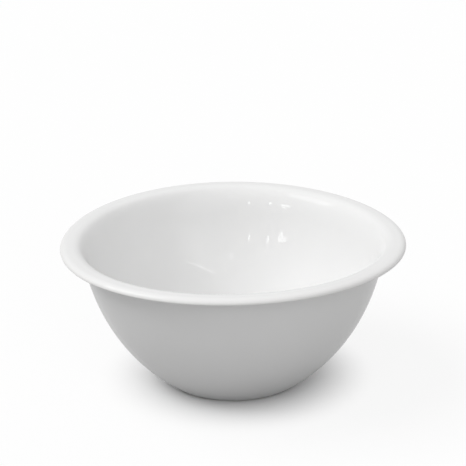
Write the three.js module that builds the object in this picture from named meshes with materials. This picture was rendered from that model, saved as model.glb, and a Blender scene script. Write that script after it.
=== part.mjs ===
// A salad bowl with a level rim flange that rolls over at the lip, in white glazed porcelain.
// Millimetres, +Z up, with the origin at the centre of the ring that the bowl stands on.
//
// The body is one fired piece. Glaze covers all of it except the foot ring's standing face, in
// two coats that the bare ring keeps apart: one inside, over the rim and outside, and one under
// the base.
import * as THREE from "three";

// Overall sizes, over the glaze
const RIM_DIAMETER = 260;
const HEIGHT = 112;

// Rim of the fired body
const WALL = 3.6;
const FLANGE_OVERHANG = 16.9; // from the neck, where the wall ends, out to the lip
const FLANGE_HOLLOW = 8.1; // radius of the hollow under the flange
const LIP_ROLL = 5.1; // width over which the flange's face rolls down to the lip
const LIP_EDGE = 0.6; // radius of the lip's lower edge

// Outer wall: a curve from foot to neck, with a slope in degrees from level at each end
const FOOT_SLOPE = 35;
const NECK_SLOPE = 80;
const FOOT_FULLNESS = 0.97; // shares of the way to where the two end slopes meet,
const NECK_FULLNESS = 0.28; // which set how far the curve follows each slope

// Base and foot ring
const FOOT_DIAMETER = 101; // where the slope of the wall comes down to the table
const FOOT_WIDTH = 5.5;
const FOOT_EDGE = 0.8; // radius of the standing face's two edges
const FOOT_SIDE = 1.8; // bare side, up the slope from the table to where the glaze starts
const RECESS_DEPTH = 2.6;
const RECESS_FILLET = 1;
const BASE_THICKNESS = 4.6;
const FLOOR_ROUND = 42; // radius between the inside floor and the wall

// Glaze
const GLAZE = 0.3;
const FIT_GAP = 0.02; // between the body and its coats

// Facets round the axis, and along each stretch of the section
const FACETS_ROUND = 60;
const FACETS_WALL = 7;
const FACETS_SHOULDER = 5;
const FACETS_LIP = 5;
const FACETS_FLOOR = 4;
const FACETS_EDGE = 2;

const OUTWARDS = 1; // a round stretch that bulges faces away from its centre
const INWARDS = -1; // and a hollow one faces its centre

// Half sections are lists of points, as (radius, height), each with the direction that faces
// out of the porcelain there.
function sectionPoint(radius, height, facing) {
  return { at: new THREE.Vector2(radius, height), facing };
}

function slopeDirection(degrees) {
  const angle = THREE.MathUtils.degToRad(degrees);
  return new THREE.Vector2(Math.cos(angle), Math.sin(angle));
}

function ovalStretch(centre, halfWidth, halfHeight, fromDegrees, toDegrees, facets, side) {
  const stretch = [];
  for (let facet = 0; facet <= facets; facet += 1) {
    const ray = slopeDirection(THREE.MathUtils.lerp(fromDegrees, toDegrees, facet / facets));
    const at = new THREE.Vector2(halfWidth * ray.x, halfHeight * ray.y).add(centre);
    const facing = new THREE.Vector2(halfHeight * ray.x, halfWidth * ray.y).setLength(side);
    stretch.push({ at, facing });
  }
  return stretch;
}

function roundStretch(centre, radius, fromDegrees, toDegrees, facets, side) {
  return ovalStretch(centre, radius, radius, fromDegrees, toDegrees, facets, side);
}

// The outer wall, pulled towards the point where the slopes at its two ends meet
function wallCurve(foot, neck) {
  const footDirection = slopeDirection(FOOT_SLOPE);
  const neckDirection = slopeDirection(NECK_SLOPE);
  const across = neck.clone().sub(foot);
  const turn = footDirection.cross(neckDirection);
  const footReach = across.cross(neckDirection) / turn;
  const neckReach = footDirection.cross(across) / turn;
  return new THREE.CubicBezierCurve(
    foot,
    foot.clone().addScaledVector(footDirection, footReach * FOOT_FULLNESS),
    neck.clone().addScaledVector(neckDirection, -neckReach * NECK_FULLNESS),
    neck,
  );
}

function slopeAt(curve, share) {
  const tangent = curve.getTangent(share);
  return THREE.MathUtils.radToDeg(Math.atan2(tangent.y, tangent.x));
}

function pointInside(curve, share, depth) {
  const tangent = curve.getTangent(share);
  const inwards = new THREE.Vector2(-tangent.y, tangent.x);
  const at = curve.getPoint(share).addScaledVector(inwards, depth);
  return { at, inwards };
}

// The share of the wall where the inside floor's round meets it: there the centre of the round
// is as far above the floor as it is from the wall's inner face.
function floorRoundShare(curve, floorHeight) {
  let low = 0;
  let high = 1;
  while (high - low > 1e-9) {
    const middle = (low + high) / 2;
    const centre = pointInside(curve, middle, WALL + FLOOR_ROUND).at;
    if (centre.y < floorHeight + FLOOR_ROUND) {
      low = middle;
    } else {
      high = middle;
    }
  }
  return low;
}

const down = new THREE.Vector2(0, -1);
const up = new THREE.Vector2(0, 1);
const toAxis = new THREE.Vector2(-1, 0);

const glazeFace = FIT_GAP + GLAZE; // height of the finished face above the body
const footRadius = FOOT_DIAMETER / 2;
const recessRadius = footRadius - FOOT_WIDTH;
const floorHeight = RECESS_DEPTH + BASE_THICKNESS;
const flangeTop = HEIGHT - glazeFace;
const flangeUnderside = flangeTop - WALL;
const lipRadius = RIM_DIAMETER / 2 - glazeFace;

// The hollow under the flange and the shoulder above it share a centre.
const shoulderCentre = new THREE.Vector2(
  RIM_DIAMETER / 2 - FLANGE_OVERHANG + FLANGE_HOLLOW * slopeDirection(NECK_SLOPE).y,
  flangeUnderside - FLANGE_HOLLOW,
);
const neckAngle = NECK_SLOPE + 90;

// Underside of the base, from the axis out to the inner edge of the foot ring
function recessSection() {
  const cornerCentre = new THREE.Vector2(recessRadius - RECESS_FILLET, RECESS_DEPTH - RECESS_FILLET);
  return [
    sectionPoint(0, RECESS_DEPTH, down),
    ...roundStretch(cornerCentre, RECESS_FILLET, 90, 0, FACETS_EDGE, INWARDS),
    sectionPoint(recessRadius, FOOT_EDGE, toAxis),
  ];
}

// The bare standing face between its two rounded edges. Its first point ends the coat under the
// base, and is left out here.
function standingSection() {
  const innerCentre = new THREE.Vector2(recessRadius + FOOT_EDGE, FOOT_EDGE);
  const outerInset = FOOT_EDGE * Math.tan(THREE.MathUtils.degToRad(FOOT_SLOPE / 2));
  const outerCentre = new THREE.Vector2(footRadius - outerInset, FOOT_EDGE);
  return [
    ...roundStretch(innerCentre, FOOT_EDGE, 180, 270, FACETS_EDGE, OUTWARDS).slice(1),
    ...roundStretch(outerCentre, FOOT_EDGE, 270, 270 + FOOT_SLOPE, FACETS_EDGE, OUTWARDS),
  ];
}

// The flange's underside end, round the lip and over onto its top. The lip's lower edge ends
// where the roll begins.
function lipSection() {
  const edgeCentre = new THREE.Vector2(lipRadius - LIP_EDGE, flangeUnderside + LIP_EDGE);
  const rollCentre = new THREE.Vector2(lipRadius - LIP_ROLL, edgeCentre.y);
  const rollHeight = WALL - LIP_EDGE;
  return [
    ...roundStretch(edgeCentre, LIP_EDGE, -90, 0, FACETS_EDGE, OUTWARDS).slice(0, -1),
    ...ovalStretch(rollCentre, LIP_ROLL, rollHeight, 0, 90, FACETS_LIP, OUTWARDS),
  ];
}

// From where the glaze starts at the foot up the wall, round the lip, down inside and in to the axis
function coatedSection() {
  const foot = new THREE.Vector2(footRadius, 0).addScaledVector(slopeDirection(FOOT_SLOPE), FOOT_SIDE);
  const hollow = roundStretch(shoulderCentre, FLANGE_HOLLOW, neckAngle, 90, FACETS_SHOULDER, INWARDS);
  const shoulderRadius = FLANGE_HOLLOW + WALL;
  const shoulder = roundStretch(shoulderCentre, shoulderRadius, 90, neckAngle, FACETS_SHOULDER, OUTWARDS);

  const curve = wallCurve(foot, hollow[0].at);
  const floorShare = floorRoundShare(curve, floorHeight);
  const floorCentre = pointInside(curve, floorShare, WALL + FLOOR_ROUND).at;
  const floorAngle = slopeAt(curve, floorShare) - 90;
  const floor = roundStretch(floorCentre, FLOOR_ROUND, floorAngle, -90, FACETS_FLOOR, INWARDS);

  const outerWall = [];
  const innerWall = [];
  for (let facet = 1; facet < FACETS_WALL; facet += 1) {
    const outer = pointInside(curve, facet / FACETS_WALL, 0);
    outerWall.push({ at: outer.at, facing: outer.inwards.negate() });
    const inner = pointInside(curve, THREE.MathUtils.lerp(1, floorShare, facet / FACETS_WALL), WALL);
    innerWall.push({ at: inner.at, facing: inner.inwards });
  }
  return [
    sectionPoint(foot.x, foot.y, slopeDirection(FOOT_SLOPE - 90)),
    ...outerWall,
    ...hollow,
    ...lipSection(),
    ...shoulder,
    ...innerWall,
    ...floor,
    sectionPoint(0, floorHeight, up),
  ];
}

function faceAbove(section, height) {
  return section.map((point) => point.at.clone().addScaledVector(point.facing, height));
}

// Turns a half section, listed anticlockwise, about the vertical axis
function turnedPiece(name, outline, color, roughness) {
  const geometry = new THREE.LatheGeometry(outline, FACETS_ROUND);
  geometry.rotateX(Math.PI / 2);
  const material = new THREE.MeshStandardMaterial({ color, roughness, metalness: 0 });
  const mesh = new THREE.Mesh(geometry, material);
  mesh.name = name;
  return mesh;
}

const recess = recessSection();
const coated = coatedSection();

const body = faceAbove([...recess, ...standingSection(), ...coated], 0);
const coat = [...faceAbove(coated, FIT_GAP).reverse(), ...faceAbove(coated, glazeFace)];
const recessCoat = [...faceAbove(recess, glazeFace), ...faceAbove(recess, FIT_GAP).reverse()];

const bowl = new THREE.Group();
bowl.add(
  turnedPiece("porcelain_body", body, 0xe8e4dc, 0.85),
  turnedPiece("glaze_coat", coat, 0xf0f0ef, 0.08),
  turnedPiece("foot_recess_glaze", recessCoat, 0xf0f0ef, 0.12),
);

export default bowl;
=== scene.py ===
"""A white glazed porcelain salad bowl, with the light and the camera that it is seen with."""

import math

import bpy
from mathutils import Matrix, Vector


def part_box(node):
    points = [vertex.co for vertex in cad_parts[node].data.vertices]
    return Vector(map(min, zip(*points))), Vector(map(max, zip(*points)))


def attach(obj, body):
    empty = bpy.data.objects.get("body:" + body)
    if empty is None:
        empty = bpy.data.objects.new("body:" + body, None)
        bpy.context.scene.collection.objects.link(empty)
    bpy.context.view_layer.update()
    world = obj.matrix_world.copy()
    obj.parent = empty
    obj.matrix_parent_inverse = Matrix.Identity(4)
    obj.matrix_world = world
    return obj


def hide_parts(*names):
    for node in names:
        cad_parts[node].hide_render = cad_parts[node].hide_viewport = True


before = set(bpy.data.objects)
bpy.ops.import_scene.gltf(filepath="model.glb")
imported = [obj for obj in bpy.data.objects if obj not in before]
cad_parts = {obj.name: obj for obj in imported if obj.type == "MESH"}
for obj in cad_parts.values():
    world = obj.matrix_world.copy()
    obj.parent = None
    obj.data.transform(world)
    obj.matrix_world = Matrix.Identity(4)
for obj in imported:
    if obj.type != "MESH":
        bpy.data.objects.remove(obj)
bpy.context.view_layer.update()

MM = 0.001
QUARTER_TURN = math.pi / 2
NOISE_MIDDLE = 0.5  # noise runs from 0 to 1

# Overall sizes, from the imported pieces
coat_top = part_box("glaze_coat")[1]
RIM_RADIUS = coat_top.x
RIM_HEIGHT = coat_top.z
GLAZE = coat_top.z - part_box("porcelain_body")[1].z

# Section of the fired body
WALL = 3.6 * MM
FLANGE_OVERHANG = 16.9 * MM
FLANGE_HOLLOW = 8.1 * MM
LIP_ROLL = 5.1 * MM
LIP_EDGE = 0.6 * MM
FOOT_SLOPE = math.radians(35)
NECK_SLOPE = math.radians(80)
FOOT_FULLNESS = 0.97
NECK_FULLNESS = 0.28
FOOT_RADIUS = 50.5 * MM
FOOT_WIDTH = 5.5 * MM
FOOT_SIDE = 1.8 * MM
FOOT_ROUND = 0.8 * MM
RECESS_DEPTH = 2.6 * MM
RECESS_FILLET = 1.0 * MM
BASE_THICKNESS = 4.6 * MM
FLOOR_ROUND = 42.0 * MM

FLANGE_TOP = RIM_HEIGHT - GLAZE
FLANGE_UNDERSIDE = FLANGE_TOP - WALL
LIP_RADIUS = RIM_RADIUS - GLAZE
RECESS_RADIUS = FOOT_RADIUS - FOOT_WIDTH
FLOOR_HEIGHT = RECESS_DEPTH + BASE_THICKNESS

# How the potter's sponge eased the inner wall into the shoulder
EASE_DEPTH = 10.0 * MM
EASE_SLOPE = math.radians(21)
EASE_FULLNESS = 0.67

# How the glaze ran before it set: thicker towards the base, thinner over the lip
GLAZE_POOL = 0.4
GLAZE_POOL_HEIGHT = 6.0 * MM
GLAZE_THIN = 0.3
GLAZE_THIN_REACH = 2.0 * MM
EDGE_WAVER = 0.35 * MM
EDGE_WAVER_SIZE = 9.0 * MM
EDGE_WAVER_REACH = 3.0 * MM
EDGE_WAVER_START = 0.4  # the noise at which the glaze's edge stays in its place

# How the kiln left it: the rim sags a little across one line and lifts across the other
RIM_SAG = 1.4 * MM
RIM_SAG_TURN = math.radians(12)
RIM_SAG_GROWTH = 3.0  # the sag grows with this power of the height
SAGS_ROUND_RIM = 2.0
UNEVENNESS = 0.12 * MM
UNEVENNESS_SIZE = 70.0 * MM
UNEVEN_ABOVE = 0.25  # the share of the height from which the unevenness is full
KILN_SEED = 7.0

# How finely the surfaces are turned
FACETS_ROUND = 192
WALL_FACETS = 40
ROUND_FACETS = 14
LIP_FACETS = 28
FLOOR_FACETS = 12
FLANGE_FACETS = 6
STANDING_FACETS = 4
BEAD_FACETS = 6
SHARE_STEP = 1e-9
WELD_DISTANCE = 1e-7

# Finish of the glaze
GLAZE_THIN_COLOUR = (0.866, 0.861, 0.853)
GLAZE_POOLED_COLOUR = (0.852, 0.858, 0.863)
GLAZE_CLOUDS = {"Size": 45.0 * MM, "Seed": 3.0}
GLAZE_CLOUD_SHADE = 0.012
GLAZE_BODY_ROUGHNESS = 0.5
GLOSS = 0.48
GLOSS_CLOUDS = {"Size": 18.0 * MM, "Seed": 11.0}
GLOSS_DRIFT = 0.03
GLOSS_ROUGHNESS = 0.02
GLAZE_RINGS = {"Spacing": 5.0 * MM, "Seed": 5.0}
GLAZE_RING_DEPTH = 0.006 * MM
GLAZE_DIMPLES = {"Size": 9.0 * MM, "Seed": 23.0}
GLAZE_DIMPLE_DEPTH = 0.001 * MM

# Finish of the bare porcelain, and where tables have rubbed it
CLAY_COLOUR = (0.82, 0.795, 0.75)
CLAY_WARM_COLOUR = (0.765, 0.73, 0.67)
CLAY_CLOUDS = {"Size": 14.0 * MM, "Seed": 3.0}
CLAY_CLOUD_WARMTH = 0.35
CLAY_GRAIN_SIZE = 0.5 * MM
CLAY_GRAIN_WARMTH = 0.8
CLAY_GRAIN_DEPTH = 0.012 * MM
CLAY_GRAIN_ROUGHNESS = 0.2
CLAY_ROUGHNESS = 0.62
CLAY_RINGS = {"Spacing": 1.2 * MM, "Seed": 9.0}
CLAY_RING_DEPTH = 0.02 * MM
RUB_COLOUR = (0.42, 0.41, 0.39)
RUB_CLOUDS = {"Size": 5.0 * MM, "Seed": 17.0}
RUB_HEIGHT = 0.5 * MM
RUB_STRENGTH = 0.6
RUB_POLISH = 0.25

# Clouds and rings that both finishes use
CLOUD_NOISE_RANGE = (0.25, 0.75)
RING_PATCH_SIZE = 60.0 * MM
RING_PATCH_RANGE = (0.4, 0.65)

# Camera, in the photograph's square frame
PHOTO_SIDE = 466
FOCAL_PIXELS = 1879.0
SENSOR = 36.0
CAMERA_DISTANCE = 1434.3 * MM
CAMERA_ELEVATION = math.radians(22.41)
CAMERA_ROLL = math.radians(-0.81)
CAMERA_PIVOT = Vector((0.0, 0.0, 55.0 * MM))
CAMERA_AIM = Vector((0.12, 0.0, 114.91)) * MM
CAMERA_REACH = 50.0

# Table: how pale it looks, what it throws back, and how white it shines away from the bowl
TABLE_SIDE = 40.0
TABLE_SEEN = 0.95
TABLE_BOUNCE = 0.41
TABLE_GLOW = 0.86
TABLE_GLOW_FROM = 50.0 * MM
TABLE_GLOW_TO = 110.0 * MM

# Studio. Directions are azimuth and elevation in degrees, where azimuth 0 is the camera's side and
# 90 is its right. A glow may stop at edges. Each edge runs from one direction to another, and the
# light is on its right, seen from the bowl.
ROOM_LIGHT = 0.454
FRONT_WINDOW = {
    "azimuth": 36.0,
    "elevation": 20.0,
    "strength": 1.41,
    "power": 16.0,
    "edges": (((49.3, 13.5), (47.1, 25.6)), ((47.1, 25.6), (20.0, 38.2))),
}
HIGH_GLOW = {"azimuth": 0.0, "elevation": 45.0, "strength": 0.77, "power": 10.0, "edges": ()}
BACK_GLOW = {"azimuth": 135.0, "elevation": 4.0, "strength": 0.42, "power": 8.0, "edges": ()}
EDGE_SOFTNESS = math.radians(4)
KEY_AZIMUTH = -90.0
KEY_ELEVATION = 53.0
KEY_STRENGTH = 1.63
KEY_WIDTH = math.radians(45)
LAMP_DISTANCE = 8.0
SOFT_PANEL_DISTANCE = 0.5
LAMP_AIM = Vector((0.0, 0.0, 90.0 * MM))

# Half sections are lists of (point, facing): radius and height, and the way out of the porcelain.
UP = Vector((0, 1))
DOWN = Vector((0, -1))
TO_AXIS = Vector((-1, 0))
OUTWARDS = 1  # a round stretch that bulges faces away from its centre
INWARDS = -1  # and a hollow one faces its centre


def ray(angle):
    return Vector((math.cos(angle), math.sin(angle)))


def oval_stretch(centre, half_width, half_height, start, end, facets, side):
    stretch = []
    for facet in range(facets + 1):
        way = ray(start + (end - start) * facet / facets)
        at = centre + Vector((way.x * half_width, way.y * half_height))
        facing = Vector((way.x * half_height, way.y * half_width)).normalized()
        stretch.append((at, facing * side))
    return stretch


def round_stretch(centre, radius, start, end, facets, side):
    return oval_stretch(centre, radius, radius, start, end, facets, side)


def straight_stretch(start, end, facing, facets):
    """The points between two others, without the two."""
    return [(start.lerp(end, facet / facets), facing) for facet in range(1, facets)]


class FairCurve:
    """A curve of the section, pulled towards the point where its two end slopes meet."""

    def __init__(self, start, start_slope, start_fullness, end, end_slope, end_fullness):
        start_way, end_way = ray(start_slope), ray(end_slope)
        across = end - start
        turn = start_way.cross(end_way)
        start_reach = across.cross(end_way) / turn
        end_reach = start_way.cross(across) / turn
        self.points = (
            start,
            start + start_way * start_reach * start_fullness,
            end - end_way * end_reach * end_fullness,
            end,
        )

    def slope(self, share):
        a, b, c, d = self.points
        rest = 1 - share
        way = (b - a) * rest * rest + (c - b) * 2 * rest * share + (d - c) * share * share
        return math.atan2(way.y, way.x)

    def inside(self, share, depth):
        """The point at a depth behind the curve, and the way in there."""
        a, b, c, d = self.points
        rest = 1 - share
        at = a * rest**3 + b * 3 * rest**2 * share + c * 3 * rest * share**2 + d * share**3
        inwards = ray(self.slope(share) + QUARTER_TURN)
        return at + inwards * depth, inwards

    def share_at(self, depth, height):
        """The share of the curve at which the point at a depth behind it comes up to a height."""
        low, high = 0.0, 1.0
        while high - low > SHARE_STEP:
            middle = (low + high) / 2
            if self.inside(middle, depth)[0].y < height:
                low = middle
            else:
                high = middle
        return low


def recess_section():
    """Underside of the base, from the axis out to the inner edge of the standing ring."""
    corner = Vector((RECESS_RADIUS - RECESS_FILLET, RECESS_DEPTH - RECESS_FILLET))
    middle = Vector((0, RECESS_DEPTH))
    fillet = round_stretch(corner, RECESS_FILLET, QUARTER_TURN, 0, ROUND_FACETS, INWARDS)
    return [
        (middle, DOWN),
        *straight_stretch(middle, fillet[0][0], DOWN, FLOOR_FACETS),
        *fillet,
        (Vector((RECESS_RADIUS, FOOT_ROUND)), TO_AXIS),
    ]


def standing_section():
    """The bare standing ring, between its two rounded edges."""
    inner = Vector((RECESS_RADIUS + FOOT_ROUND, FOOT_ROUND))
    outer = Vector((FOOT_RADIUS - FOOT_ROUND * math.tan(FOOT_SLOPE / 2), FOOT_ROUND))
    lowest = -QUARTER_TURN
    inner_edge = round_stretch(inner, FOOT_ROUND, -math.pi, lowest, ROUND_FACETS, OUTWARDS)
    outer_edge = round_stretch(outer, FOOT_ROUND, lowest, lowest + FOOT_SLOPE, ROUND_FACETS, OUTWARDS)
    face = straight_stretch(inner_edge[-1][0], outer_edge[0][0], DOWN, STANDING_FACETS)
    return [*inner_edge[1:], *face, *outer_edge]


def lip_section():
    """Round the lip, from the flange's underside over onto its top."""
    edge_centre = Vector((LIP_RADIUS - LIP_EDGE, FLANGE_UNDERSIDE + LIP_EDGE))
    edge = round_stretch(edge_centre, LIP_EDGE, -QUARTER_TURN, 0, ROUND_FACETS, OUTWARDS)
    roll_height = WALL - LIP_EDGE
    roll_centre = Vector((LIP_RADIUS - LIP_ROLL, FLANGE_TOP - roll_height))
    roll = oval_stretch(roll_centre, LIP_ROLL, roll_height, 0, QUARTER_TURN, LIP_FACETS, OUTWARDS)
    return [*edge, *roll[1:]]


def inside_section(wall, shoulder_end):
    """From the end of the shoulder down the inner wall, round the floor and in to the axis."""
    neck_height = wall.inside(1, WALL)[0].y
    ease_share = wall.share_at(WALL, neck_height - EASE_DEPTH)
    ease_start, _ = wall.inside(ease_share, WALL)
    ease_start_slope = wall.slope(ease_share)
    ease = FairCurve(ease_start, ease_start_slope, EASE_FULLNESS, shoulder_end, EASE_SLOPE, EASE_FULLNESS)
    eased = [ease.inside(1 - facet / ROUND_FACETS, 0) for facet in range(1, ROUND_FACETS)]

    floor_depth = WALL + FLOOR_ROUND
    floor_share = wall.share_at(floor_depth, FLOOR_HEIGHT + FLOOR_ROUND)
    floor_centre, _ = wall.inside(floor_share, floor_depth)
    floor_angle = wall.slope(floor_share) - QUARTER_TURN
    floor = round_stretch(floor_centre, FLOOR_ROUND, floor_angle, -QUARTER_TURN, FLOOR_FACETS, INWARDS)

    inner_wall = []
    for facet in range(WALL_FACETS):
        share = ease_share + (floor_share - ease_share) * facet / WALL_FACETS
        inner_wall.append(wall.inside(share, WALL))
    middle = Vector((0, FLOOR_HEIGHT))
    return [
        *eased,
        *inner_wall,
        *floor,
        *straight_stretch(floor[-1][0], middle, UP, FLOOR_FACETS),
        (middle, UP),
    ]


def coated_section():
    """From the glaze's edge at the foot up the wall, round the lip, down inside and in to the axis."""
    rim_centre = Vector((
        RIM_RADIUS - FLANGE_OVERHANG + FLANGE_HOLLOW * math.sin(NECK_SLOPE),
        FLANGE_UNDERSIDE - FLANGE_HOLLOW,
    ))
    neck = NECK_SLOPE + QUARTER_TURN
    hollow = round_stretch(rim_centre, FLANGE_HOLLOW, neck, QUARTER_TURN, ROUND_FACETS, INWARDS)
    shoulder_radius = FLANGE_HOLLOW + WALL
    shoulder_end = QUARTER_TURN + EASE_SLOPE
    shoulder = round_stretch(
        rim_centre, shoulder_radius, QUARTER_TURN, shoulder_end, ROUND_FACETS, OUTWARDS
    )
    lip = lip_section()

    foot = Vector((FOOT_RADIUS, 0)) + ray(FOOT_SLOPE) * FOOT_SIDE
    wall = FairCurve(foot, FOOT_SLOPE, FOOT_FULLNESS, hollow[0][0], NECK_SLOPE, NECK_FULLNESS)
    outer_wall = []
    for facet in range(1, WALL_FACETS):
        at, inwards = wall.inside(facet / WALL_FACETS, 0)
        outer_wall.append((at, -inwards))
    return [
        (foot, ray(FOOT_SLOPE - QUARTER_TURN)),
        *outer_wall,
        *hollow,
        *straight_stretch(hollow[-1][0], lip[0][0], DOWN, FLANGE_FACETS),
        *lip,
        *straight_stretch(lip[-1][0], shoulder[0][0], UP, FLANGE_FACETS),
        *shoulder,
        *inside_section(wall, shoulder[-1][0]),
    ]


def glaze_depth(at):
    """How thick the glaze lies at a point of the section, as a share of its usual thickness."""
    pooled = GLAZE_POOL * math.exp(-at.y / GLAZE_POOL_HEIGHT)
    thinned = GLAZE_THIN * math.exp((at.x - RIM_RADIUS) / GLAZE_THIN_REACH)
    return 1 + pooled - thinned


def body_face(section):
    return [at for at, facing in section]


def glaze_face(section):
    return [at + facing * GLAZE * glaze_depth(at) for at, facing in section]


def glaze_edge(section_end):
    """The rolled edge where a coat stops, from the body round to the finished face."""
    at, facing = section_end
    bead = GLAZE * glaze_depth(at) / 2
    start = math.atan2(-facing.y, -facing.x)
    turn = math.pi if facing.x > 0 else -math.pi
    angles = [start + turn * facet / BEAD_FACETS for facet in range(1, BEAD_FACETS)]
    return [at + facing * bead + ray(angle) * bead for angle in angles]


# Node tools
def node(tree, kind, inputs=None, **options):
    """Adds a node with its options, and links or sets each input that is named."""
    made = tree.nodes.new(kind)
    for name, value in options.items():
        setattr(made, name, value)
    for key, value in (inputs or {}).items():
        if isinstance(value, bpy.types.NodeSocket):
            tree.links.new(value, made.inputs[key])
        else:
            made.inputs[key].default_value = value
    return made


def calc(tree, operation, first, second=0.0):
    return node(tree, "ShaderNodeMath", {0: first, 1: second}, operation=operation).outputs[0]


def dot(tree, first, second):
    made = node(tree, "ShaderNodeVectorMath", {0: first, 1: second}, operation="DOT_PRODUCT")
    return made.outputs["Value"]


def noise(tree, dimensions, inputs):
    return node(tree, "ShaderNodeTexNoise", inputs, noise_dimensions=dimensions).outputs


def smooth_step(tree, value, start, end, top=1.0):
    """Eases from 0 up to the top as the value goes from start to end."""
    limits = {"Value": value, "From Min": start, "From Max": end, "To Max": top}
    return node(tree, "ShaderNodeMapRange", limits, interpolation_type="SMOOTHSTEP").outputs[0]


def placed(tree, group, settings):
    """Places a shared group with its own values, and gives what it puts out."""
    return node(tree, "ShaderNodeGroup", settings, node_tree=group).outputs[0]


def bumped(tree, height):
    return node(tree, "ShaderNodeBump", {"Strength": 1.0, "Distance": 1.0, "Height": height}).outputs[0]


def mixed_colour(tree, share, first, second):
    made = node(tree, "ShaderNodeMix", {"Factor": share}, data_type="RGBA")
    for socket, value in zip((s for s in made.inputs if s.type == "RGBA"), (first, second)):
        if isinstance(value, bpy.types.NodeSocket):
            tree.links.new(value, socket)
        else:
            socket.default_value = (*value, 1)
    return next(s for s in made.outputs if s.type == "RGBA")


def new_group(name, kind, inputs, outputs):
    """A node group with named sockets, given as (name, socket type, default)."""
    tree = bpy.data.node_groups.new(name, kind)
    for label, socket, default in inputs:
        made = tree.interface.new_socket(label, in_out="INPUT", socket_type=socket)
        if default is not None:
            made.default_value = default
    for label, socket in outputs:
        tree.interface.new_socket(label, in_out="OUTPUT", socket_type=socket)
    return tree, tree.nodes.new("NodeGroupInput").outputs, tree.nodes.new("NodeGroupOutput").inputs


# The wheel, and what the kiln does afterwards
def section_value(tree, section, value, ring, kind):
    """A value of the section at the ring that a point of the piece lies on."""
    inputs = {"Geometry": section, "Value": value, "Index": ring}
    return node(tree, "GeometryNodeSampleIndex", inputs, data_type=kind).outputs[0]


def rim_sag(tree, given, angle, height_share):
    """How far the kiln let a point sink."""
    sag_angle = calc(tree, "MULTIPLY", calc(tree, "SUBTRACT", angle, given["Sag turn"]), SAGS_ROUND_RIM)
    growth = calc(tree, "POWER", height_share, RIM_SAG_GROWTH)
    weight = calc(tree, "MULTIPLY", growth, given["Rim sag"])
    return calc(tree, "MULTIPLY", calc(tree, "COSINE", sag_angle), weight)


def edge_slip(tree, given, across, along, height):
    """How far the glaze ran up or down its slope near the edge where it stops."""
    radius = calc(tree, "DIVIDE", FOOT_RADIUS, given["Edge waver size"])
    round_foot = node(
        tree,
        "ShaderNodeCombineXYZ",
        {"X": calc(tree, "MULTIPLY", across, radius), "Y": calc(tree, "MULTIPLY", along, radius)},
    )
    run = noise(
        tree, "4D", {"Vector": round_foot.outputs[0], "W": given["Seed"], "Scale": 1.0, "Detail": 2.0}
    )
    above_edge = calc(tree, "SUBTRACT", height, given["Edge height"])
    share = calc(tree, "SUBTRACT", 1.0, calc(tree, "DIVIDE", above_edge, given["Edge waver reach"]))
    weight = calc(tree, "MINIMUM", calc(tree, "MAXIMUM", share, 0.0), 1.0)
    slip = calc(tree, "SUBTRACT", run[0], EDGE_WAVER_START)
    return calc(tree, "MULTIPLY", calc(tree, "MULTIPLY", slip, given["Edge waver"]), weight)


def kiln_drift(tree, given, spot, height_share):
    """How far a point wandered off the turned shape."""
    scale = calc(tree, "DIVIDE", 1.0, given["Unevenness size"])
    drift = noise(tree, "4D", {"Vector": spot, "W": given["Seed"], "Scale": scale, "Detail": 1.0})
    middle = (NOISE_MIDDLE, NOISE_MIDDLE, NOISE_MIDDLE)
    centred = node(tree, "ShaderNodeVectorMath", {0: drift["Color"], 1: middle}, operation="SUBTRACT")
    share = calc(tree, "MINIMUM", calc(tree, "MULTIPLY", height_share, 1 / UNEVEN_ABOVE), 1.0)
    weight = calc(tree, "MULTIPLY", share, 1 / NOISE_MIDDLE)
    reach = calc(tree, "MULTIPLY", given["Unevenness"], weight)
    inputs = {0: centred.outputs[0], "Scale": reach}
    return node(tree, "ShaderNodeVectorMath", inputs, operation="SCALE").outputs[0]


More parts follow.
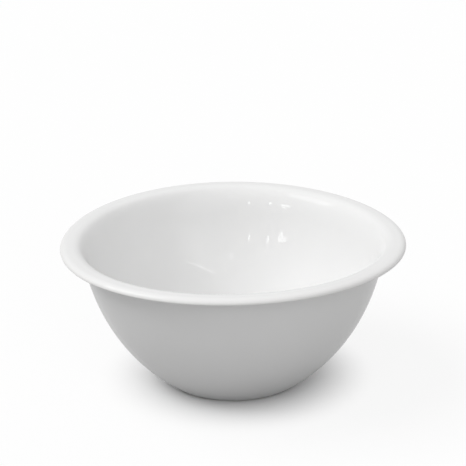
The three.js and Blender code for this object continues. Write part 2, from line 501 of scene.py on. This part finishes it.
def wheel_tree():
    """Turns a half section, a line of points in the XZ plane, once round the axis, and warps it."""
    tree, given, result = new_group(
        "turned_on_wheel",
        "GeometryNodeTree",
        [
            ("Section", "NodeSocketGeometry", None),
            ("Facets round", "NodeSocketInt", FACETS_ROUND),
            ("Rim height", "NodeSocketFloat", RIM_HEIGHT),
            ("Rim sag", "NodeSocketFloat", RIM_SAG),
            ("Sag turn", "NodeSocketFloat", RIM_SAG_TURN),
            ("Unevenness", "NodeSocketFloat", UNEVENNESS),
            ("Unevenness size", "NodeSocketFloat", UNEVENNESS_SIZE),
            ("Seed", "NodeSocketFloat", KILN_SEED),
            ("Edge waver", "NodeSocketFloat", 0.0),
            ("Edge waver size", "NodeSocketFloat", EDGE_WAVER_SIZE),
            ("Edge waver reach", "NodeSocketFloat", EDGE_WAVER_REACH),
            ("Edge height", "NodeSocketFloat", 0.0),
            ("Edge slope", "NodeSocketFloat", 0.0),
            ("Finish", "NodeSocketMaterial", None),
        ],
        [("Piece", "NodeSocketGeometry")],
    )
    section = given["Section"]
    size = node(tree, "GeometryNodeAttributeDomainSize", {"Geometry": section}, component="MESH")
    rings = size.outputs["Point Count"]
    columns = calc(tree, "ADD", given["Facets round"], 1.0)
    grid = node(tree, "GeometryNodeMeshGrid", {"Vertices X": columns, "Vertices Y": rings})
    index = node(tree, "GeometryNodeInputIndex").outputs[0]
    # Each column of the grid is one section. Half a point more keeps the division clear of rounding.
    column = calc(tree, "FLOOR", calc(tree, "DIVIDE", calc(tree, "ADD", index, 0.5), rings))
    ring = calc(tree, "SUBTRACT", index, calc(tree, "MULTIPLY", column, rings))

    spot = node(tree, "GeometryNodeInputPosition").outputs[0]
    section_point = section_value(tree, section, spot, ring, "FLOAT_VECTOR")
    at = node(tree, "ShaderNodeSeparateXYZ", {0: section_point}).outputs
    depth = node(tree, "GeometryNodeInputNamedAttribute", {"Name": "glaze_depth"}, data_type="FLOAT")
    section_depth = section_value(tree, section, depth.outputs["Attribute"], ring, "FLOAT")
    coated = node(
        tree,
        "GeometryNodeStoreNamedAttribute",
        {"Geometry": grid.outputs["Mesh"], "Name": "glaze_depth", "Value": section_depth},
        data_type="FLOAT",
        domain="POINT",
    )

    angle = calc(tree, "MULTIPLY", calc(tree, "DIVIDE", column, given["Facets round"]), math.tau)
    across, along = calc(tree, "COSINE", angle), calc(tree, "SINE", angle)
    height_share = calc(tree, "DIVIDE", at["Z"], given["Rim height"])
    slip = edge_slip(tree, given, across, along, at["Z"])
    slip_out = calc(tree, "MULTIPLY", slip, calc(tree, "COSINE", given["Edge slope"]))
    slip_up = calc(tree, "MULTIPLY", slip, calc(tree, "SINE", given["Edge slope"]))
    radius = calc(tree, "ADD", at["X"], slip_out)
    height = calc(tree, "ADD", at["Z"], slip_up)
    turned = node(
        tree,
        "ShaderNodeCombineXYZ",
        {
            "X": calc(tree, "MULTIPLY", radius, across),
            "Y": calc(tree, "MULTIPLY", radius, along),
            "Z": calc(tree, "SUBTRACT", height, rim_sag(tree, given, angle, height_share)),
        },
    )
    placing = {"Geometry": coated.outputs[0], "Position": turned.outputs[0]}
    shaped = node(tree, "GeometryNodeSetPosition", placing)
    warping = {"Geometry": shaped.outputs[0], "Offset": kiln_drift(tree, given, spot, height_share)}
    warped = node(tree, "GeometryNodeSetPosition", warping)

    welding = {"Geometry": warped.outputs[0], "Distance": WELD_DISTANCE}
    closed = node(tree, "GeometryNodeMergeByDistance", welding)
    smooth = node(tree, "GeometryNodeSetShadeSmooth", {"Geometry": closed.outputs[0]})
    real = node(tree, "GeometryNodeRealizeInstances", {"Geometry": smooth.outputs[0]})
    finishing = {"Geometry": real.outputs[0], "Material": given["Finish"]}
    done = node(tree, "GeometryNodeSetMaterial", finishing)
    tree.links.new(done.outputs[0], result["Piece"])
    return tree


def set_input(modifier, label, value):
    for item in modifier.node_group.interface.items_tree:
        if item.name == label and item.in_out == "INPUT":
            modifier[item.identifier] = value


def turned_piece(name, outline, settings, tree):
    """A piece turned from its half section, as a plain mesh at the origin."""
    line = bpy.data.meshes.new(name + "_section")
    points = [(at.x, 0, at.y) for at in outline]
    steps = [(first, first + 1) for first in range(len(outline) - 1)]
    line.from_pydata(points, steps, [])
    depth = line.attributes.new("glaze_depth", "FLOAT", "POINT")
    depth.data.foreach_set("value", [glaze_depth(at) for at in outline])
    piece = bpy.data.objects.new(name, line)
    bpy.context.scene.collection.objects.link(piece)
    wheel = piece.modifiers.new("wheel", "NODES")
    wheel.node_group = tree
    for label, value in settings.items():
        set_input(wheel, label, value)
    bpy.context.view_layer.update()
    seen = piece.evaluated_get(bpy.context.evaluated_depsgraph_get())
    mesh = bpy.data.meshes.new_from_object(seen)
    piece.modifiers.remove(wheel)
    piece.data = mesh
    mesh.name = name
    bpy.data.meshes.remove(line)
    return piece


# Finishes
def new_material(name):
    material = bpy.data.materials.new(name)
    material.use_nodes = True
    shader = material.node_tree.nodes["Principled BSDF"]
    return material, material.node_tree, shader


def kiln_clouds():
    """Soft clouds left by the firing, from -1 to 1."""
    tree, given, result = new_group(
        "kiln_clouds",
        "ShaderNodeTree",
        [("Size", "NodeSocketFloat", GLAZE_CLOUDS["Size"]), ("Seed", "NodeSocketFloat", KILN_SEED)],
        [("Shade", "NodeSocketFloat")],
    )
    spot = node(tree, "ShaderNodeTexCoord").outputs["Object"]
    scale = calc(tree, "DIVIDE", 1.0, given["Size"])
    cloud = noise(tree, "4D", {"Vector": spot, "W": given["Seed"], "Scale": scale, "Detail": 3.0})
    low, high = CLOUD_NOISE_RANGE
    limits = {"Value": cloud[0], "From Min": low, "From Max": high, "To Min": -1.0}
    shade = node(tree, "ShaderNodeMapRange", limits)
    tree.links.new(shade.outputs[0], result["Shade"])
    return tree


def wheel_marks():
    """Faint rings left by turning on the wheel, strong in some places and gone in others."""
    tree, given, result = new_group(
        "wheel_marks",
        "ShaderNodeTree",
        [("Spacing", "NodeSocketFloat", GLAZE_RINGS["Spacing"]), ("Seed", "NodeSocketFloat", KILN_SEED)],
        [("Height", "NodeSocketFloat")],
    )
    spot = node(tree, "ShaderNodeTexCoord").outputs["Object"]
    at = node(tree, "ShaderNodeSeparateXYZ", {0: spot}).outputs
    squares = calc(tree, "ADD", calc(tree, "POWER", at["X"], 2.0), calc(tree, "POWER", at["Y"], 2.0))
    radius = calc(tree, "SQRT", squares)
    climb = calc(tree, "DIVIDE", calc(tree, "ADD", at["Z"], radius), given["Spacing"])
    along = calc(tree, "ADD", climb, given["Seed"])
    rings = noise(tree, "1D", {"W": along, "Scale": 1.0, "Detail": 2.0})
    patch_scale = 1 / RING_PATCH_SIZE
    patches = noise(
        tree, "4D", {"Vector": spot, "W": given["Seed"], "Scale": patch_scale, "Detail": 1.0}
    )
    strength = smooth_step(tree, patches[0], *RING_PATCH_RANGE)
    height = calc(tree, "MULTIPLY", calc(tree, "SUBTRACT", rings[0], NOISE_MIDDLE), strength)
    tree.links.new(height, result["Height"])
    return tree


def white_glaze(clouds, marks):
    """Clear glaze over white porcelain: cooler where it pooled, warmer where it ran thin."""
    material, tree, shader = new_material("white_glaze")
    depth = node(tree, "ShaderNodeAttribute", attribute_name="glaze_depth").outputs["Fac"]
    limits = {"Value": depth, "From Min": 1 - GLAZE_THIN, "From Max": 1 + GLAZE_POOL}
    pooled = node(tree, "ShaderNodeMapRange", limits).outputs[0]
    tint = mixed_colour(tree, pooled, GLAZE_THIN_COLOUR, GLAZE_POOLED_COLOUR)
    cloud = placed(tree, clouds, GLAZE_CLOUDS)
    shade = calc(tree, "ADD", calc(tree, "MULTIPLY", cloud, GLAZE_CLOUD_SHADE), 1.0)
    colour = node(tree, "ShaderNodeVectorMath", {0: tint, "Scale": shade}, operation="SCALE").outputs[0]
    tree.links.new(colour, shader.inputs["Base Color"])
    shader.inputs["Roughness"].default_value = GLAZE_BODY_ROUGHNESS
    shader.inputs["Specular IOR Level"].default_value = 0.0

    drift = calc(tree, "MULTIPLY", placed(tree, clouds, GLOSS_CLOUDS), GLOSS_DRIFT)
    tree.links.new(calc(tree, "ADD", drift, GLOSS), shader.inputs["Coat Weight"])
    shader.inputs["Coat Roughness"].default_value = GLOSS_ROUGHNESS

    rings = calc(tree, "MULTIPLY", placed(tree, marks, GLAZE_RINGS), GLAZE_RING_DEPTH)
    dimples = calc(tree, "MULTIPLY", placed(tree, clouds, GLAZE_DIMPLES), GLAZE_DIMPLE_DEPTH)
    bump = bumped(tree, calc(tree, "ADD", rings, dimples))
    tree.links.new(bump, shader.inputs["Normal"])
    tree.links.new(bump, shader.inputs["Coat Normal"])
    return material


def bare_porcelain(clouds, marks):
    """Fired porcelain without glaze: warm, dry and fine-grained, greyed where it has stood on tables."""
    material, tree, shader = new_material("bare_porcelain")
    spot = node(tree, "ShaderNodeTexCoord").outputs["Object"]
    grain = noise(tree, "3D", {"Vector": spot, "Scale": 1 / CLAY_GRAIN_SIZE, "Detail": 4.0})[0]
    cloud_warmth = calc(tree, "MULTIPLY", placed(tree, clouds, CLAY_CLOUDS), CLAY_CLOUD_WARMTH)
    grain_warmth = calc(tree, "MULTIPLY", grain, CLAY_GRAIN_WARMTH)
    warmth = calc(tree, "ADD", cloud_warmth, grain_warmth)
    clay = mixed_colour(tree, warmth, CLAY_COLOUR, CLAY_WARM_COLOUR)

    height = node(tree, "ShaderNodeSeparateXYZ", {0: spot}).outputs["Z"]
    standing = smooth_step(tree, height, RUB_HEIGHT, 0.0)
    rub = calc(tree, "MAXIMUM", placed(tree, clouds, RUB_CLOUDS), 0.0)
    worn = calc(tree, "MULTIPLY", rub, calc(tree, "MULTIPLY", standing, RUB_STRENGTH))
    tree.links.new(mixed_colour(tree, worn, clay, RUB_COLOUR), shader.inputs["Base Color"])

    dry = calc(tree, "ADD", calc(tree, "MULTIPLY", grain, CLAY_GRAIN_ROUGHNESS), CLAY_ROUGHNESS)
    roughness = calc(tree, "SUBTRACT", dry, calc(tree, "MULTIPLY", worn, RUB_POLISH))
    tree.links.new(roughness, shader.inputs["Roughness"])
    grains = calc(tree, "MULTIPLY", grain, CLAY_GRAIN_DEPTH)
    rings = calc(tree, "MULTIPLY", placed(tree, marks, CLAY_RINGS), CLAY_RING_DEPTH)
    tree.links.new(bumped(tree, calc(tree, "ADD", grains, rings)), shader.inputs["Normal"])
    return material


def table_finish():
    """A pale table. What is seen of it is paler than what it throws back onto the bowl."""
    material = bpy.data.materials.new("pale_table")
    material.use_nodes = True
    tree = material.node_tree
    tree.nodes.clear()
    path = node(tree, "ShaderNodeLightPath").outputs
    seen = calc(tree, "MAXIMUM", path["Is Camera Ray"], path["Is Glossy Ray"])
    seen = calc(tree, "MAXIMUM", seen, path["Is Transmission Ray"])
    dull = node(tree, "ShaderNodeBsdfDiffuse", {"Color": (TABLE_BOUNCE, TABLE_BOUNCE, TABLE_BOUNCE, 1)})
    pale = node(tree, "ShaderNodeBsdfDiffuse", {"Color": (TABLE_SEEN, TABLE_SEEN, TABLE_SEEN, 1)})
    glow = node(tree, "ShaderNodeEmission", {"Color": (1, 1, 1, 1), "Strength": 1.0})
    spot = node(tree, "ShaderNodeTexCoord").outputs["Object"]
    reach = node(tree, "ShaderNodeVectorMath", {0: spot}, operation="LENGTH").outputs["Value"]
    share = smooth_step(tree, reach, TABLE_GLOW_FROM, TABLE_GLOW_TO, TABLE_GLOW)
    white = node(tree, "ShaderNodeMixShader", {0: share, 1: pale.outputs[0], 2: glow.outputs[0]})
    mixed = node(tree, "ShaderNodeMixShader", {0: seen, 1: dull.outputs[0], 2: white.outputs[0]})
    material.cycles.emission_sampling = "NONE"
    node(tree, "ShaderNodeOutputMaterial", {"Surface": mixed.outputs[0]})
    return material


# What is in the studio
def make_table():
    half = TABLE_SIDE / 2
    mesh = bpy.data.meshes.new("table")
    corners = [(-half, -half, 0), (half, -half, 0), (half, half, 0), (-half, half, 0)]
    mesh.from_pydata(corners, [], [(0, 1, 2, 3)])
    mesh.materials.append(table_finish())
    table = bpy.data.objects.new("table", mesh)
    bpy.context.scene.collection.objects.link(table)


def direction(azimuth, elevation):
    turn, lift = math.radians(azimuth), math.radians(elevation)
    return Vector((math.sin(turn) * math.cos(lift), -math.cos(turn) * math.cos(lift), math.sin(lift)))


def make_room():
    """An even dim room with soft glows. The one in front is a window that ends at two edges."""
    world = bpy.data.worlds.new("room")
    world.use_nodes = True
    tree = world.node_tree
    tree.nodes.clear()
    way = node(tree, "ShaderNodeTexCoord").outputs["Generated"]
    strength = ROOM_LIGHT
    for light in (FRONT_WINDOW, HIGH_GLOW, BACK_GLOW):
        facing = dot(tree, way, direction(light["azimuth"], light["elevation"]))
        glow = calc(tree, "POWER", calc(tree, "MAXIMUM", facing, 0.0), light["power"])
        for first, second in light["edges"]:
            inwards = direction(*first).cross(direction(*second)).normalized()
            ramp = {0: dot(tree, way, inwards), 1: EDGE_SOFTNESS}
            inside = node(tree, "ShaderNodeMath", ramp, operation="DIVIDE", use_clamp=True).outputs[0]
            glow = calc(tree, "MULTIPLY", glow, inside)
        strength = calc(tree, "ADD", calc(tree, "MULTIPLY", glow, light["strength"]), strength)
    background = node(tree, "ShaderNodeBackground", {"Color": (1, 1, 1, 1), "Strength": strength})
    node(tree, "ShaderNodeOutputWorld", {"Surface": background.outputs[0]})
    bpy.context.scene.world = world


def key_lamp():
    """The main soft light from the left, too wide and even for the glaze to mirror."""
    lamp = bpy.data.lights.new("key_light", "SUN")
    lamp.energy = KEY_STRENGTH
    lamp.angle = KEY_WIDTH
    made = bpy.data.objects.new("key_light", lamp)
    bpy.context.scene.collection.objects.link(made)
    away = direction(KEY_AZIMUTH, KEY_ELEVATION)
    made.location = away * LAMP_DISTANCE
    made.rotation_euler = away.to_track_quat("Z", "Y").to_euler()
    made.visible_glossy = False


def panel_lamp(name, azimuth, elevation, width, height, brightness, turn=0.0, distance=LAMP_DISTANCE):
    """A flat lamp that shows only where the glaze mirrors it. Its width and height are in degrees."""
    lamp = bpy.data.lights.new(name, "AREA")
    lamp.shape = "RECTANGLE"
    lamp.size = 2 * distance * math.tan(math.radians(width) / 2)
    lamp.size_y = 2 * distance * math.tan(math.radians(height) / 2)
    lamp.energy = brightness * math.pi * lamp.size * lamp.size_y
    made = bpy.data.objects.new(name, lamp)
    bpy.context.scene.collection.objects.link(made)
    away = direction(azimuth, elevation)
    made.location = LAMP_AIM + away * distance
    facing = away.to_track_quat("Z", "Y").to_matrix()
    made.rotation_euler = (facing @ Matrix.Rotation(math.radians(turn), 3, "Z")).to_euler()
    made.visible_camera = False
    made.visible_diffuse = False


def make_lamps():
    key_lamp()
    panel_lamp(
        "soft_panel",
        azimuth=-85.4,
        elevation=48.9,
        width=24.4,
        height=30.0,
        brightness=3.3,
        turn=-44.5,
        distance=SOFT_PANEL_DISTANCE,
    )
    panel_lamp("faint_window", azimuth=1.7, elevation=29.0, width=2.4, height=3.4, brightness=3.3)
    panel_lamp("narrow_window", azimuth=-14.0, elevation=18.0, width=1.2, height=3.2, brightness=13.0)
    panel_lamp("second_narrow_window", azimuth=-30.7, elevation=17.4, width=1.8, height=3.8, brightness=8.0)
    pane = {"brightness": 6.2, "turn": 10.0}
    panel_lamp("wide_window", azimuth=-43.4, elevation=15.3, width=7.6, height=3.4, **pane)
    panel_lamp("upper_pane", azimuth=-41.7, elevation=12.8, width=3.3, height=2.0, **pane)
    top = {"width": 13.0, "height": 1.0}
    panel_lamp("window_top", azimuth=27.0, elevation=35.3, brightness=7.5, turn=-27.5, **top)
    panel_lamp("window_top_end", azimuth=40.5, elevation=29.0, brightness=4.5, turn=-30.0, **top)


def make_camera():
    camera = bpy.data.cameras.new("photo_camera")
    camera.sensor_width = SENSOR
    camera.lens = FOCAL_PIXELS / PHOTO_SIDE * SENSOR
    camera.clip_end = CAMERA_REACH
    made = bpy.data.objects.new("photo_camera", camera)
    bpy.context.scene.collection.objects.link(made)
    back = Vector((0, -math.cos(CAMERA_ELEVATION), math.sin(CAMERA_ELEVATION)))
    spot = CAMERA_PIVOT + back * CAMERA_DISTANCE
    ahead = (CAMERA_AIM - spot).normalized()
    right = ahead.cross(Vector((0, 0, 1))).normalized()
    up = right.cross(ahead)
    rolled_right = right * math.cos(CAMERA_ROLL) + up * math.sin(CAMERA_ROLL)
    rolled_up = up * math.cos(CAMERA_ROLL) - right * math.sin(CAMERA_ROLL)
    turn = Matrix((rolled_right, rolled_up, -ahead)).transposed()
    made.matrix_world = Matrix.Translation(spot) @ turn.to_4x4()
    bpy.context.scene.camera = made


def make_bowl():
    tree = wheel_tree()
    clouds, marks = kiln_clouds(), wheel_marks()
    glaze, bare = white_glaze(clouds, marks), bare_porcelain(clouds, marks)
    recess, standing, coated = recess_section(), standing_section(), coated_section()
    body_outline = body_face([*recess, *standing, *coated])
    coat_outline = [
        *reversed(body_face(coated)),
        *glaze_edge(coated[0]),
        *glaze_face(coated),
    ]
    recess_outline = [
        *glaze_face(recess),
        *reversed(glaze_edge(recess[-1])),
        *reversed(body_face(recess)),
    ]
    coat_waver = {"Edge waver": EDGE_WAVER, "Edge height": coated[0][0].y, "Edge slope": FOOT_SLOPE}
    recess_waver = {"Edge waver": EDGE_WAVER, "Edge height": FOOT_ROUND, "Edge slope": QUARTER_TURN}
    pieces = (
        ("bare_foot_and_body", body_outline, bare, {}, "porcelain_body", "bare_porcelain"),
        ("white_glaze_coat", coat_outline, glaze, coat_waver, "glaze_coat", "white_glaze"),
        ("glaze_under_base", recess_outline, glaze, recess_waver, "foot_recess_glaze", "white_glaze"),
    )
    for name, outline, finish, waver, node_name, slot in pieces:
        piece = turned_piece(name, outline, {"Finish": finish, **waver}, tree)
        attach(piece, "root")
        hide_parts(node_name)


make_camera()
make_bowl()
make_table()
make_room()
make_lamps()

bpy.context.scene.view_settings.view_transform = "Standard"
